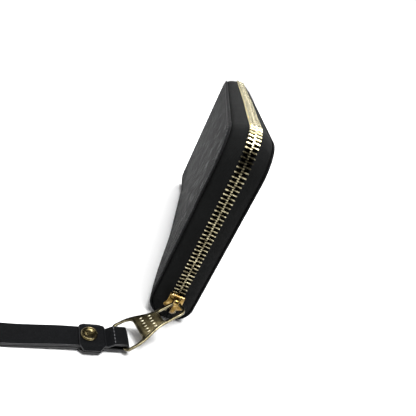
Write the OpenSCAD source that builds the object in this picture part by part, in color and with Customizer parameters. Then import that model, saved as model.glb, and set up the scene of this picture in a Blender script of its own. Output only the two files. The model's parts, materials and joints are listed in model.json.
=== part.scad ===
// Long zip-around wristlet wallet, standing on its spine.
// X runs along the wallet with the zip's closed end at +X, Y through its thickness with the front at -Y,
// and Z upwards from the flat of the spine.

/* [Covers] */
// Length of each cover
panel_l = 188; // [180:1:200]
// Height of the covers above the spine's flat
panel_h = 105; // [100:1:116]
// Thickness of the closed wallet
wallet_t = 24; // [23.6:0.1:25]
// Radius of the covers' top corners
corner_r = 17; // [14:0.5:22]
// Thickness of the outer leather
leather_t = 1.2; // [1:0.05:1.3]
// Thickness of the stiffening board in a cover
board_t = 0.9; // [0.7:0.05:1]
// Thickness of the lining
lining_t = 0.6; // [0.4:0.05:0.7]

/* [Spine] */
// Height of the spine's trough, where the covers hinge
spine_h = 8; // [7:0.5:10]
// Radius of the spine's lower edges
spine_r = 7.5; // [4:0.5:7.5]
// Gap between the trough and a cover's lower edge
hinge_gap = 0.6; // [0.5:0.05:0.8]

/* [Main zip] */
// How far the tape bulges out beyond the covers' edges
zip_bulge = 2.7; // [2.4:0.1:3]
// Thickness of the woven tape
tape_t = 0.6; // [0.5:0.05:0.7]
// Spacing of the teeth on one tape
tooth_pitch = 2.26; // [2.1:0.02:2.5]
// Width of one tooth along the chain
tooth_w = 1.15; // [1:0.05:1.3]
// Thickness of the chain
tooth_d = 2.4; // [2.2:0.05:2.5]
// Half the width of the closed chain
chain_half = 3.15; // [3:0.05:3.2]
// Half the gap between the two rows, where the slider's wedge passes
row_gap = 0.6; // [0.55:0.05:0.7]

/* [Slider and pull] */
// Length of the slider
slider_l = 9.5; // [9:0.1:10]
// Height of the slider's closed edge above the spine's flat
slider_top = 20.2; // [19.5:0.1:24]
// Thickness of each of the slider's plates
slider_plate_t = 1; // [0.8:0.05:1]
// Travel of the slider up the short end
slider_travel = 60; // [40:1:62]
// Overall length of the pull
pull_l = 34.55; // [33:0.05:36]
// Thickness of the pull
pull_t = 1.3; // [1.1:0.05:1.3]
// Slope of the pull below the horizontal
pull_pitch = 24.6; // [24:0.1:27]
// Heading of the pull, from +X towards -Y
pull_heading = 49.9; // [49:0.1:52]

/* [Wrist strap] */
// Width of the strap
strap_w = 11; // [10:0.1:11.4]
// Thickness of one run of the strap
strap_t = 1; // [0.8:0.05:1.1]
// Reach of the strap's loop from the pull's bar
strap_l = 146; // [120:1:160]
// Height of the open end of the strap's loop
loop_h = 15; // [12:0.5:20]
// Distance from the pull's bar at which the loop's two runs part
part_s = 95; // [80:1:105]
// Heading of the strap, from +X towards -Y
strap_heading = 69.8; // [67:0.1:70]
// Thickness of each keeper leather
keeper_t = 0.9; // [0.7:0.05:1]

/* [Interior] */
// Thickness of one leaf of the card slots
slot_t = 0.45; // [0.3:0.05:0.45]
// Rise from one card slot's edge to the next
slot_step = 12; // [10:1:13]
// Height of the coin compartment's top
coin_h = 80; // [74:1:82]
// Half the thickness of the coin compartment
coin_half = 2; // [1.8:0.1:2]
// Spacing of the coin zip's teeth on one tape
coin_pitch = 2; // [1.8:0.1:2.4]

/* [Hidden] */
$fn = 48;

half_l = panel_l / 2;
half_t = wallet_t / 2;
corner_x = half_l - corner_r;
corner_z = panel_h - corner_r;
cover_z0 = spine_h + hinge_gap;

// Depth of each layer's inner face, counted from the centre plane
leather_in = half_t - leather_t;
board_in = leather_in - board_t;
lining_in = board_in - lining_t;
bill_gap = 0.7;
backing_out = lining_in - bill_gap;
backing_in = backing_out - 0.5;
board_inset = 6.4;
lining_inset = 0.9;

// The chain's centre line beyond the covers' outline
chain_o = zip_bulge;
chain_x = half_l + chain_o;
chain_r = corner_r + chain_o;
row_z0 = slider_top + 1;
far_stop_top = 16;
row_up = corner_z - row_z0;
row_arc = chain_r * PI / 2;
row_across = 2 * corner_x;
row_down = corner_z - far_stop_top - 1;
row_total = row_up + 2 * row_arc + row_across + row_down;
tape_z0 = spine_h + 1.5;

// Slider
play = 0.3;
slider_z0 = slider_top - slider_l;
face_x = chain_x + tooth_d / 2 + play + slider_plate_t;
back_x = chain_x - tooth_d / 2 - play - slider_plate_t;
flange_in = chain_half + 0.25;
flange_out = chain_half + 0.85;
wing = 5.1;
bridge_w = 2.2;
bridge_t = 1.2;
crown_x = face_x + 4.1;
crown_z = slider_top - 4.6;
crown_half = 3;

// Pull: u runs along it from the bar under the bridge, v across it
pull_bar = 1.3;
loop_half = 4.3;
neck_u = 12;
shoulder_u = 24;
wide_half = 8;
window_end_u = pull_l - 1.5 * pull_bar;
bar_u = pull_l - pull_bar;
bar_gap = 1;
rivet_base_t = 0.4;
strap_z = rivet_base_t + keeper_t;
bar_z = strap_z + strap_t + bar_gap;
crown_u = 3;
crown_v = 1.55;
d_xy = cos(pull_pitch);
pull_dir = [cos(pull_heading), -sin(pull_heading)];
pull_side = [sin(pull_heading), cos(pull_heading)];
pull_x = crown_x - crown_u * d_xy * pull_dir[0] + crown_v * pull_side[0];
pull_y = -crown_u * d_xy * pull_dir[1] + crown_v * pull_side[1];
pull_z = bar_z + bar_u * sin(pull_pitch);
bar_x = pull_x + bar_u * d_xy * pull_dir[0];
bar_y = pull_y + bar_u * d_xy * pull_dir[1];

// Strap
strap_end = -5;
hump_s = -4.3;
bulge_half = 2.7;
keeper_s0 = 6.8;
keeper_s1 = 18.4;
keeper_half = 7.6;
rivet_s = 14.2;
rivet_r = 3.8;
post_r = 1.2;
run_gap = 0.3;
arc_s = strap_l - loop_h / 2;
keeper_top_z = strap_z + 2 * strap_t + run_gap;

// Coin zip and gussets
coin_x = 84;
coin_slider_x = coin_x - 16;
coin_row_out = 1.3;
gusset_x0 = 82;
gusset_x1 = 92;

// A smooth step from 0 to 1
function smooth(t) = let (c = min(1, max(0, t))) c * c * (3 - 2 * c);

// Points of an arc
function arc(cx, cy, r, a0, a1, n = 8) =
    [for (i = [0:n]) [cx + r * cos(a0 + (a1 - a0) * i / n), cy + r * sin(a0 + (a1 - a0) * i / n)]];

// Extrudes an outline drawn in X and Z, from y0 to y1
module slab(y0, y1) {
    translate([0, y1, 0]) rotate([90, 0, 0]) linear_extrude(y1 - y0) children();
}

// Extrudes an outline drawn in Y and Z, from x0 to x1
module cross_slab(x0, x1) {
    translate([x0, 0, 0]) rotate([90, 0, 90]) linear_extrude(x1 - x0) children();
}

// A cover's outline, taken in by inset on the three zipped sides, from the height z0 up
module cover_outline(inset, z0) {
    x = half_l - inset;
    r = corner_r - inset;
    polygon(concat([[x, z0]], arc(corner_x, corner_z, r, 0, 90, 12),
                   arc(-corner_x, corner_z, r, 90, 180, 12), [[-x, z0]]));
}

// ---- spine ----

module trough(outer, wall, radius, x) {
    r_in = radius - wall;
    low = half_t - outer;
    difference() {
        cross_slab(-x, x)
            polygon(concat([[-outer, spine_h]], arc(-outer + radius, low + radius, radius, 180, 270),
                           arc(outer - radius, low + radius, radius, 270, 360), [[outer, spine_h]]));
        cross_slab(-x - 1, x + 1)
            polygon(concat([[-outer + wall, spine_h + 1]],
                           arc(-outer + radius, low + radius, r_in, 180, 270),
                           arc(outer - radius, low + radius, r_in, 270, 360),
                           [[outer - wall, spine_h + 1]]));
    }
}

module spine_leather() { color("#26272a") trough(half_t, leather_t, spine_r, half_l); }

module spine_lining() { color("#3a3533") trough(leather_in, lining_t, spine_r - leather_t, half_l - 1.6); }

// Tab that closes the trough's end and covers the zip's tape ends
module spine_end() {
    low = leather_t + lining_t + 0.2;
    side = leather_in - lining_t - 0.2;
    cross_slab(half_l - 1.4, half_l - 0.6)
        polygon([[-side, spine_h - 0.2], [-side, low + 4], [-side + 3.5, low], [side - 3.5, low],
                 [side, low + 4], [side, spine_h - 0.2], [3, spine_h - 0.2], [3, slider_z0 - 1],
                 [-3, slider_z0 - 1], [-3, spine_h - 0.2]]);
}

module spine_end_near() { color("#1d1e20") spine_end(); }

module spine_end_far() { color("#1d1e20") mirror([1, 0, 0]) spine_end(); }

// Metal stop that ends the chain on the far short end
module zip_end_stop() {
    color("#b89a55")
        translate([-chain_x - tooth_d / 2, -chain_half + 0.3, far_stop_top - 3.6])
            cube([tooth_d, 2 * chain_half - 0.6, 3.3]);
}

// ---- coin compartment ----

module coin_base() {
    color("#2b2a2c")
        translate([-coin_x, -coin_half, leather_t + lining_t]) cube([2 * coin_x, 2 * coin_half, 0.8]);
}

module coin_wall() {
    z0 = leather_t + lining_t + 0.8;
    translate([-coin_x, -coin_half, z0]) cube([2 * coin_x, 0.5, coin_h - z0]);
}

module coin_wall_front() { color("#2b2a2c") coin_wall(); }

module coin_wall_back() { color("#2b2a2c") mirror([0, 1, 0]) coin_wall(); }

module coin_tape() {
    translate([-coin_x, -coin_half, coin_h]) cube([2 * coin_x, coin_half - coin_row_out, 0.5]);
}

module coin_tape_front() { color("#18191b") coin_tape(); }

module coin_tape_back() { color("#18191b") mirror([0, 1, 0]) coin_tape(); }

module coin_teeth(shift) {
    count = floor((2 * coin_x - 26) / coin_pitch);
    for (i = [0:count - 1])
        translate([-coin_x + 8 + shift + i * coin_pitch, -coin_row_out, coin_h - 0.3])
            cube([1, coin_row_out - 0.5, 1.1]);
}

module coin_teeth_front() { color("#b89a55") coin_teeth(0); }

module coin_teeth_back() { color("#b89a55") mirror([0, 1, 0]) coin_teeth(coin_pitch / 2); }

// Slider of the coin zip: two plates joined by a post beyond the last teeth
module coin_slider_body() {
    color("#c9a65c") {
        translate([coin_slider_x, -2.6, coin_h + 1.1]) cube([7, 5.2, 0.7]);
        translate([coin_slider_x, -1.2, coin_h - 1.2]) cube([7, 2.4, 0.6]);
        translate([coin_slider_x + 1, -0.35, coin_h - 0.9]) cube([2, 0.7, 2.2]);
        difference() {
            translate([coin_slider_x + 1, -0.7, coin_h + 1.7]) cube([5, 1.4, 2.3]);
            translate([coin_slider_x + 2, -1, coin_h + 1.7]) cube([3, 2, 1.5]);
        }
    }
}

// Pull of the coin zip, lying along the top of the compartment
module coin_pull() {
    x0 = coin_slider_x + 3.8;
    color("#c9a65c")
        translate([0, 0, coin_h + 2.1]) linear_extrude(0.9)
            difference() {
                polygon([[x0, -1.9], [x0, 1.9], [x0 - 16, 2.4], [x0 - 17.5, 0.9],
                         [x0 - 17.5, -0.9], [x0 - 16, -2.4]]);
                translate([x0 - 4, -1]) square([2.9, 2]);
            }
}

// ---- gussets ----

// One folded pleat between a cover and the coin compartment
module gusset() {
    outer = backing_in - 4 * slot_t - 0.3;
    inner = coin_half + 0.3;
    middle = (outer + inner) / 2;
    leaf = 0.4;
    translate([0, 0, 10]) linear_extrude(panel_h - 26)
        polygon([[gusset_x1, -outer], [gusset_x1, -outer + leaf], [gusset_x0 + leaf, -middle],
                 [gusset_x1, -inner - leaf], [gusset_x1, -inner], [gusset_x0 - 1, -middle + 0.1],
                 [gusset_x0 - 1, -middle - 0.1]]);
}

module gusset_front_near() { color("#232326") gusset(); }

module gusset_front_far() { color("#232326") mirror([1, 0, 0]) gusset(); }

module gusset_back_near() { color("#232326") mirror([0, 1, 0]) gusset(); }

module gusset_back_far() { color("#232326") mirror([1, 0, 0]) mirror([0, 1, 0]) gusset(); }

// ---- covers: each is drawn as the front one and mirrored for the back ----

module panel() { slab(-half_t, -leather_in) cover_outline(0, cover_z0); }

module board() { slab(-leather_in, -board_in) cover_outline(board_inset, cover_z0 + 3); }

module lining() { slab(-board_in, -lining_in) cover_outline(lining_inset, cover_z0 + 0.8); }

module card_backing() {
    slab(-backing_out, -backing_in)
        polygon([[-coin_x, 10], [coin_x, 10], [coin_x, panel_h - 12], [-coin_x, panel_h - 12]]);
}

// Leaf number n of the card slots, counted from the tallest, with a thumb notch over each column
module card_slot(n) {
    x = 80;
    top = panel_h - 18 - (n - 1) * slot_step;
    out = backing_in - (n - 1) * slot_t;
    slab(-out, -out + slot_t)
        difference() {
            translate([-x, 12]) square([2 * x, top - 12]);
            for (side = [-1, 1]) translate([side * x / 2, top + 4]) circle(r = 9);
        }
}

// Section of the tape: the flange sewn under the leather, then the wall that bows out to the chain
module tape_section() {
    flange_y = leather_in;
    polygon([[-6, -flange_y], [-0.4, -flange_y], [0.9, -9.4], [1.9, -7.3], [2.5, -5.2],
             [2.95, -chain_half], [2.95 - tape_t, -chain_half], [1.9, -5], [1.35, -6.9], [0.4, -8.8],
             [-0.75, -flange_y + tape_t], [-6, -flange_y + tape_t]]);
}

module zip_tape() {
    for (side = [0, 1]) mirror([side, 0, 0]) {
        translate([half_l, 0, tape_z0]) linear_extrude(corner_z - tape_z0) tape_section();
        translate([corner_x, 0, corner_z]) rotate([90, 0, 0])
            rotate_extrude(angle = 90) translate([corner_r, 0]) mirror([0, 1, 0]) tape_section();
    }
    translate([-corner_x, 0, panel_h]) rotate([90, 0, 90]) linear_extrude(2 * corner_x)
        rotate([0, 0, 90]) mirror([0, 1, 0]) tape_section();
}

// Place and outward angle of the point a distance a along the chain
function chain_at(a) =
    let (a1 = row_up, a2 = a1 + row_arc, a3 = a2 + row_across, a4 = a3 + row_arc)
    a < a1 ? [chain_x, row_z0 + a, 0] :
    a < a2 ? let (t = (a - a1) / row_arc * 90)
             [corner_x + chain_r * cos(t), corner_z + chain_r * sin(t), t] :
    a < a3 ? [corner_x - (a - a2), panel_h + chain_o, 90] :
    a < a4 ? let (t = 90 + (a - a3) / row_arc * 90)
             [-corner_x + chain_r * cos(t), corner_z + chain_r * sin(t), t] :
             [-chain_x, corner_z - (a - a4), 180];

module zip_teeth(shift) {
    count = floor((row_total - shift) / tooth_pitch);
    for (i = [0:count - 1]) {
        p = chain_at(shift + i * tooth_pitch);
        translate([p[0], 0, p[1]]) rotate([0, -p[2], 0])
            translate([-tooth_d / 2, -chain_half, -tooth_w / 2])
                cube([tooth_d, chain_half - row_gap, tooth_w]);
    }
}

// Small clip that ends one tape's teeth below the slider's nose
module zip_stop() {
    translate([chain_x - 0.9, -chain_half, slider_z0 - 3.4]) cube([1.8, 1.5, 1.8]);
}

module front_panel() { color("#33353a") panel(); }
module front_board() { color("#8a7f6e") board(); }
module front_lining() { color("#3a3533") lining(); }
module front_card_backing() { color("#2b2a2c") card_backing(); }
module front_card_slot_1() { color("#2e2e31") card_slot(1); }
module front_card_slot_2() { color("#2e2e31") card_slot(2); }
module front_card_slot_3() { color("#2e2e31") card_slot(3); }
module front_card_slot_4() { color("#2e2e31") card_slot(4); }
module front_zip_tape() { color("#18191b") zip_tape(); }
module front_zip_teeth() { color("#b0a27a") zip_teeth(0); }
module front_zip_stop() { color("#b0a27a") zip_stop(); }

module back_panel() { color("#33353a") mirror([0, 1, 0]) panel(); }
module back_board() { color("#8a7f6e") mirror([0, 1, 0]) board(); }
module back_lining() { color("#3a3533") mirror([0, 1, 0]) lining(); }
module back_card_backing() { color("#2b2a2c") mirror([0, 1, 0]) card_backing(); }
module back_card_slot_1() { color("#2e2e31") mirror([0, 1, 0]) card_slot(1); }
module back_card_slot_2() { color("#2e2e31") mirror([0, 1, 0]) card_slot(2); }
module back_card_slot_3() { color("#2e2e31") mirror([0, 1, 0]) card_slot(3); }
module back_card_slot_4() { color("#2e2e31") mirror([0, 1, 0]) card_slot(4); }
module back_zip_tape() { color("#18191b") mirror([0, 1, 0]) zip_tape(); }
module back_zip_teeth() { color("#b0a27a") mirror([0, 1, 0]) zip_teeth(tooth_pitch / 2); }
module back_zip_stop() { color("#b0a27a") mirror([0, 1, 0]) zip_stop(); }

// ---- slider, pull and strap ----

module slider_outline() {
    mid = slider_z0 + 0.42 * slider_l;
    polygon([[-flange_out, slider_top], [-flange_out, mid], [-wing, slider_z0 + 2.6],
             [-wing, slider_z0 + 1.4], [-2.4, slider_z0], [2.4, slider_z0],
             [wing, slider_z0 + 1.4], [wing, slider_z0 + 2.6], [flange_out, mid],
             [flange_out, slider_top]]);
}

// One of the four lips that hold the teeth in, leaving a slot for the tape
module slider_lip(side, x0, x1) {
    mid = slider_z0 + 0.42 * slider_l;
    y0 = side > 0 ? flange_in : -flange_out;
    translate([x0, y0, mid]) cube([x1 - x0, flange_out - flange_in, slider_top - mid]);
}

module slider_body() {
    color("#c9a65c") {
        cross_slab(face_x - slider_plate_t, face_x) slider_outline();
        cross_slab(back_x, back_x + slider_plate_t) slider_outline();
        translate([back_x + slider_plate_t, -row_gap + 0.12, slider_z0 + 0.6])
            cube([tooth_d + 2 * play, 2 * row_gap - 0.24, 3.4]);
        for (side = [-1, 1]) {
            slider_lip(side, face_x - slider_plate_t - 1, face_x - slider_plate_t);
            slider_lip(side, back_x + slider_plate_t, back_x + slider_plate_t + 0.6);
        }
    }
}

// Arch over the slider's face that the pull hangs from, with its tongue past the nose
module slider_bridge() {
    out = crown_x + bridge_t / 2;
    in = crown_x - bridge_t / 2;
    top = crown_z + crown_half;
    low = crown_z - crown_half;
    r = 1.4;
    color("#d8b467")
        slab(-bridge_w / 2, bridge_w / 2)
            difference() {
                polygon(concat([[face_x, top + bridge_t]], [[out - r, top + bridge_t]],
                               arc(out - r, top + bridge_t - r, r, 90, 0, 5),
                               arc(out - 2, low - 0.4, 2, 0, -60, 5),
                               [[face_x + 1, slider_z0 - 1.4], [face_x, slider_z0 - 0.8]]));
                polygon([[face_x - 1, top], [in - 0.6, top], [in, top - 0.6], [in, low + 0.6],
                         [in - 1.2, low - 0.5], [face_x - 1, low - 0.5]]);
            }
}

// Half the pull's width at the distance u along it
function pull_half(u) =
    loop_half + 0.2 * smooth(u / neck_u)
    + (wide_half - loop_half - 0.2) * smooth((u - neck_u) / (shoulder_u + 4 - neck_u));

module pull_outline() {
    us = [for (i = [0:12]) 3 + (window_end_u - 4) * i / 12];
    r_near = 2.6;
    r_far = 2;
    far = pull_l - pull_bar / 2;
    polygon(concat(arc(-pull_bar / 2 + r_near, loop_half - r_near, r_near, 180, 90, 6),
                   [for (u = us) [u, pull_half(u)]],
                   arc(far - r_far, wide_half - r_far, r_far, 90, 0, 6),
                   arc(far - r_far, -wide_half + r_far, r_far, 0, -90, 6),
                   [for (i = [12:-1:0]) [us[i], -pull_half(us[i])]],
                   arc(-pull_bar / 2 + r_near, -loop_half + r_near, r_near, 270, 180, 6)));
}

module pull_windows() {
    near = loop_half - pull_bar;
    far = wide_half - pull_bar + 0.05;
    r = 1.3;
    polygon(concat(arc(pull_bar / 2 + r, near - r, r, 180, 90, 5), [[neck_u - 0.7, near], [neck_u - 0.7, -near]],
                   arc(pull_bar / 2 + r, -near + r, r, 270, 180, 5)));
    polygon(concat([[shoulder_u + 0.8, 5], [shoulder_u + 4.5, far]],
                   arc(window_end_u - 0.8, far - 0.8, 0.8, 90, 0, 4),
                   arc(window_end_u - 0.8, -far + 0.8, 0.8, 0, -90, 4),
                   [[shoulder_u + 4.5, -far], [shoulder_u + 0.8, -5], [shoulder_u, -4],
                    [shoulder_u, 4]]));
}

module pull_plate() {
    color("#cdbd82")
        translate([pull_x, pull_y, pull_z]) rotate([0, pull_pitch, -pull_heading])
            translate([0, 0, -pull_t / 2]) linear_extrude(pull_t)
                difference() {
                    pull_outline();
                    pull_windows();
                }
}

// Places an outline drawn along the strap (s) and up (z), centred on the pull's bar, as wide as w
module along_strap(w) {
    translate([bar_x, bar_y, 0]) rotate([0, 0, -strap_heading])
        rotate([90, 0, 0]) linear_extrude(w, center = true) children();
}

// Underside of the lower run and top of the upper run at the distance s from the bar
function run_low(s) = strap_z * (1 - smooth((s - keeper_s1 - 3) / 26));
function run_top(s) =
    let (flat = keeper_top_z, hump = bar_z + bar_gap + strap_t)
    s < hump_s ? strap_z + 2 * strap_t :
    s < -bulge_half ? strap_z + 2 * strap_t
                      + (hump - strap_z - 2 * strap_t) * smooth((s - hump_s) / (-bulge_half - hump_s)) :
    s < keeper_s0 ? hump + (flat - hump) * smooth((s - bulge_half) / (keeper_s0 - bulge_half - 0.3)) :
    let (closed = run_low(s) + 2 * strap_t + run_gap)
    closed + (loop_h - closed) * smooth((s - part_s) / (arc_s - part_s));

module strap_ring() {
    stations = concat([strap_end, hump_s, -3.8, -3.3, -bulge_half, bulge_half, 3.4, 4.1, 4.8, 5.6, 6.5],
                      [for (s = [keeper_s1 + 3:5:arc_s - 3]) s]);
    last = len(stations) - 1;
    r = loop_h / 2;
    difference() {
        polygon(concat([for (s = stations) [s, run_low(s)]], arc(arc_s, r, r, -90, 90, 14),
                       [for (i = [last:-1:0]) [stations[i], run_top(stations[i])]]));
        polygon(concat([for (i = [3:last]) [stations[i], run_low(stations[i]) + strap_t]],
                       arc(arc_s, r, r - strap_t, -90, 90, 14),
                       [for (i = [last:-1:4]) [stations[i], run_top(stations[i]) - strap_t]]));
    }
}

module rivet_hole(r) {
    translate([bar_x, bar_y, 0]) rotate([0, 0, -strap_heading]) translate([rivet_s, 0, -1])
        cylinder(h = 12, r = r);
}

module strap_band() {
    color("#202124")
        difference() {
            along_strap(strap_w) strap_ring();
            rivet_hole(post_r + 0.05);
        }
}

module keeper(z) {
    cut = 2.2;
    translate([bar_x, bar_y, z]) rotate([0, 0, -strap_heading])
        linear_extrude(keeper_t)
            difference() {
                polygon([[keeper_s0 + cut, -keeper_half], [keeper_s1 - cut, -keeper_half],
                         [keeper_s1, -keeper_half + cut], [keeper_s1, keeper_half - cut],
                         [keeper_s1 - cut, keeper_half], [keeper_s0 + cut, keeper_half],
                         [keeper_s0, keeper_half - cut], [keeper_s0, -keeper_half + cut]]);
                translate([rivet_s, 0]) circle(r = post_r + 0.05);
            }
}

module keeper_top() { color("#232427") keeper(keeper_top_z); }

module keeper_bottom() { color("#232427") keeper(rivet_base_t); }

// Dished cap with a raised rim
module rivet_cap() {
    color("#c2a95f")
        translate([bar_x, bar_y, keeper_top_z + keeper_t]) rotate([0, 0, -strap_heading])
            translate([rivet_s, 0, 0]) rotate_extrude()
                polygon([[0, 0], [rivet_r, 0], [rivet_r, 0.5], [rivet_r - 0.4, 1.1],
                         [rivet_r - 1, 1.3], [rivet_r - 1.4, 0.9], [0, 0.7]]);
}

module rivet_post() {
    color("#c2a95f")
        translate([bar_x, bar_y, 0]) rotate([0, 0, -strap_heading]) translate([rivet_s, 0, 0]) {
            cylinder(h = rivet_base_t, r = 3.6);
            cylinder(h = keeper_top_z + keeper_t, r = post_r);
        }
}

spine_leather();
spine_lining();
spine_end_near();
spine_end_far();
zip_end_stop();
coin_base();
coin_wall_front();
coin_wall_back();
coin_tape_front();
coin_tape_back();
coin_teeth_front();
coin_teeth_back();
coin_slider_body();
coin_pull();
gusset_front_near();
gusset_front_far();
gusset_back_near();
gusset_back_far();
front_panel();
front_board();
front_lining();
front_card_backing();
front_card_slot_1();
front_card_slot_2();
front_card_slot_3();
front_card_slot_4();
front_zip_tape();
front_zip_teeth();
front_zip_stop();
back_panel();
back_board();
back_lining();
back_card_backing();
back_card_slot_1();
back_card_slot_2();
back_card_slot_3();
back_card_slot_4();
back_zip_tape();
back_zip_teeth();
back_zip_stop();
slider_body();
slider_bridge();
pull_plate();
strap_band();
keeper_top();
keeper_bottom();
rivet_cap();
rivet_post();
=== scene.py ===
"""A long zip-around wristlet wallet, standing on its spine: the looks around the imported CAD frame."""

import json
import math

import bmesh
import bpy
from mathutils import Matrix, Vector
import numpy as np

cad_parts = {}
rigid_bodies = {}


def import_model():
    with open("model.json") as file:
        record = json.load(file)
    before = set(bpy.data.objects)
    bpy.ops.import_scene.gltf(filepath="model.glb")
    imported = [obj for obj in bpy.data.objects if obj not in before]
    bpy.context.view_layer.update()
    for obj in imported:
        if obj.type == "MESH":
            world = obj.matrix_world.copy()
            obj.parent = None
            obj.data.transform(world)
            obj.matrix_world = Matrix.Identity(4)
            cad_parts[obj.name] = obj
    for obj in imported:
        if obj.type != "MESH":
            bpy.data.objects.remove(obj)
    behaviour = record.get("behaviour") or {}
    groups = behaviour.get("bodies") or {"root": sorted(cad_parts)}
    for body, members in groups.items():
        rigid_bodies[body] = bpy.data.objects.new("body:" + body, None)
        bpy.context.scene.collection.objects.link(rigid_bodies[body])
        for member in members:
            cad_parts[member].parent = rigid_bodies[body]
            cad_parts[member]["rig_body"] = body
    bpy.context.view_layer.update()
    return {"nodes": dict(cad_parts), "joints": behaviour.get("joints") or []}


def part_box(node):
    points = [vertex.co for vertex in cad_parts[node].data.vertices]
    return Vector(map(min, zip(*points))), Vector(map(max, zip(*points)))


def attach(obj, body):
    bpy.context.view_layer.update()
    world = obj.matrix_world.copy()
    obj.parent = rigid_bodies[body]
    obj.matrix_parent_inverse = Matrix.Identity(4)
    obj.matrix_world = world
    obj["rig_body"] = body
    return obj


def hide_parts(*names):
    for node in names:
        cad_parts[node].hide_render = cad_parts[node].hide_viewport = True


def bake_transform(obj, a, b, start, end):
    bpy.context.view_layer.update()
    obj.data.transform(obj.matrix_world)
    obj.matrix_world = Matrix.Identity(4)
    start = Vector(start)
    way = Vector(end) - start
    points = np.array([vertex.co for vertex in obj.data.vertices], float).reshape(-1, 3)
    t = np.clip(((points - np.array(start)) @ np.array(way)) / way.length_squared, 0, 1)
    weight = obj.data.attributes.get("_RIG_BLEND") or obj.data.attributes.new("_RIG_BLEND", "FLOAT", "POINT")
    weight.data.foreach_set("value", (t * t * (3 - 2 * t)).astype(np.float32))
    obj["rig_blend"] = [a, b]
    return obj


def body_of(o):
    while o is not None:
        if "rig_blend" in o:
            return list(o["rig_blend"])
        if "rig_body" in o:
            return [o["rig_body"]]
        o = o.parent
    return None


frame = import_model()

MM = 0.001
JOINTS = {joint["name"]: joint for joint in frame["joints"]}
SIDES = ((-1, "front"), (1, "back"))


def span(node):
    """Lowest and highest corner of a CAD node, in millimetres."""
    low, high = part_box(node)
    return [c / MM for c in low], [c / MM for c in high]


# ---- sizes in millimetres, most of them read from the frame ----

PANEL_LOW, PANEL_HIGH = span("front_panel")
HALF_L = PANEL_HIGH[0]
PANEL_TOP = PANEL_HIGH[2]
HALF_T = -PANEL_LOW[1]
LEATHER_IN = -PANEL_HIGH[1]
LEATHER_T = HALF_T - LEATHER_IN
CORNER_R = 17
CORNER_X = HALF_L - CORNER_R
CORNER_Z = PANEL_TOP - CORNER_R
TEETH_LOW, TEETH_HIGH = span("front_zip_teeth")
TEETH_Z0 = TEETH_LOW[2]
CHAIN_O = TEETH_HIGH[0] - HALF_L - 1.2
SLIDER_LOW, SLIDER_HIGH = span("slider_body")
BRIDGE_LOW, BRIDGE_HIGH = span("slider_bridge")
TAPER = 0.14  # how much thinner the closed wallet is at its far end
WAIST = 0.2  # how far the lower front is drawn in between its ends
SPINE_R = 10.6  # radius of the spine's rolled lower edges
SPINE_FLAT = HALF_T - SPINE_R
SPINE_ARC = SPINE_R * math.pi / 2
SHEET_TOP = SPINE_FLAT + SPINE_ARC + PANEL_TOP - SPINE_R
BULGE = 0.55  # crown of the padded covers
STITCH_INSET = 2.1
CHAIN_DRIFT = 1.1
HINGE_LOW = 6
HINGE_HIGH = 12.5
SHARP_ANGLE = 40  # degrees above which an edge is drawn sharp
SOFT_ANGLE = 50
TOOTH_ANGLE = 35
PLATE_ANGLE = 28
PLATE_WELD = 0.0000005  # metres
CUT_REACH = 0.000001


# ---- small helpers ----

def smooth(t):
    """A smooth step from 0 to 1."""
    c = min(1.0, max(0.0, t))
    return c * c * (3 - 2 * c)


def mix(a, b, t):
    return a + (b - a) * t


def steps(a, b, count):
    """count + 1 evenly spaced numbers from a to b."""
    return [mix(a, b, i / count) for i in range(count + 1)]


def settle(x, y, z):
    """The closed wallet is a wedge, thinner towards its far end, and its front is drawn in low down."""
    slim = TAPER * (HALF_L - min(x, HALF_L)) / (2 * HALF_L)
    if y < 0:
        along = smooth((HALF_L - 12 - x) / 70) * smooth((x + HALF_L) / 30)
        slim += WAIST * along * (1 - smooth((z - 12) / 50))
    return x, y * (1 - slim), z


def wander(x, y, z):
    """The zip isn't dead straight: along the top its middle drifts towards the back cover."""
    drift = CHAIN_DRIFT * smooth((CORNER_X - 10 - x) / 60)
    return settle(x, y + drift * (1 - min(1.0, abs(y) / LEATHER_IN)), z)


def arc_points(cx, cy, radius, a0, a1, count):
    """Points of an arc, with angles in degrees."""
    angles = [math.radians(a) for a in steps(a0, a1, count)]
    return [(cx + radius * math.cos(a), cy + radius * math.sin(a)) for a in angles]


def rounded(points, radius, count=4):
    """A closed outline with each corner rounded to the radius, or to a third of its shorter side."""
    made = []
    total = len(points)
    for i, p in enumerate(points):
        here = Vector(p)
        before = Vector(points[i - 1]) - here
        after = Vector(points[(i + 1) % total]) - here
        cut = min(radius, before.length / 2.2, after.length / 2.2)
        start = here + before.normalized() * cut
        end = here + after.normalized() * cut
        for t in steps(0, 1, count):
            q = start * (1 - t) ** 2 + here * (2 * t * (1 - t)) + end * t * t
            made.append((q[0], q[1]))
    return made


def rectangle(a0, b0, a1, b1, radius, count=4):
    """A rounded rectangle between two corners."""
    return rounded([(a0, b0), (a1, b0), (a1, b1), (a0, b1)], radius, count)


# ---- meshes ----

def linked(name, data):
    """An object that holds the data, in the scene."""
    obj = bpy.data.objects.new(name, data)
    bpy.context.scene.collection.objects.link(obj)
    return obj


def raw_mesh(name, verts, faces):
    """A mesh from points in millimetres."""
    mesh = bpy.data.meshes.new(name)
    mesh.from_pydata([[c * MM for c in v] for v in verts], [], faces)
    return mesh


def finished(mesh, sharp, materials, weld=None):
    """An object with its normals outwards, smooth but for edges above the sharp angle."""
    work = bmesh.new()
    work.from_mesh(mesh)
    if weld:
        bmesh.ops.remove_doubles(work, verts=work.verts, dist=weld)
    bmesh.ops.recalc_face_normals(work, faces=work.faces)
    work.to_mesh(mesh)
    work.free()
    return shaded(mesh, sharp, materials)


def shaded(mesh, sharp, materials):
    mesh.shade_smooth()
    mesh.set_sharp_from_angle(angle=math.radians(sharp))
    mesh.materials.clear()
    for material in materials:
        mesh.materials.append(material)
    return linked(mesh.name, mesh)


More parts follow.
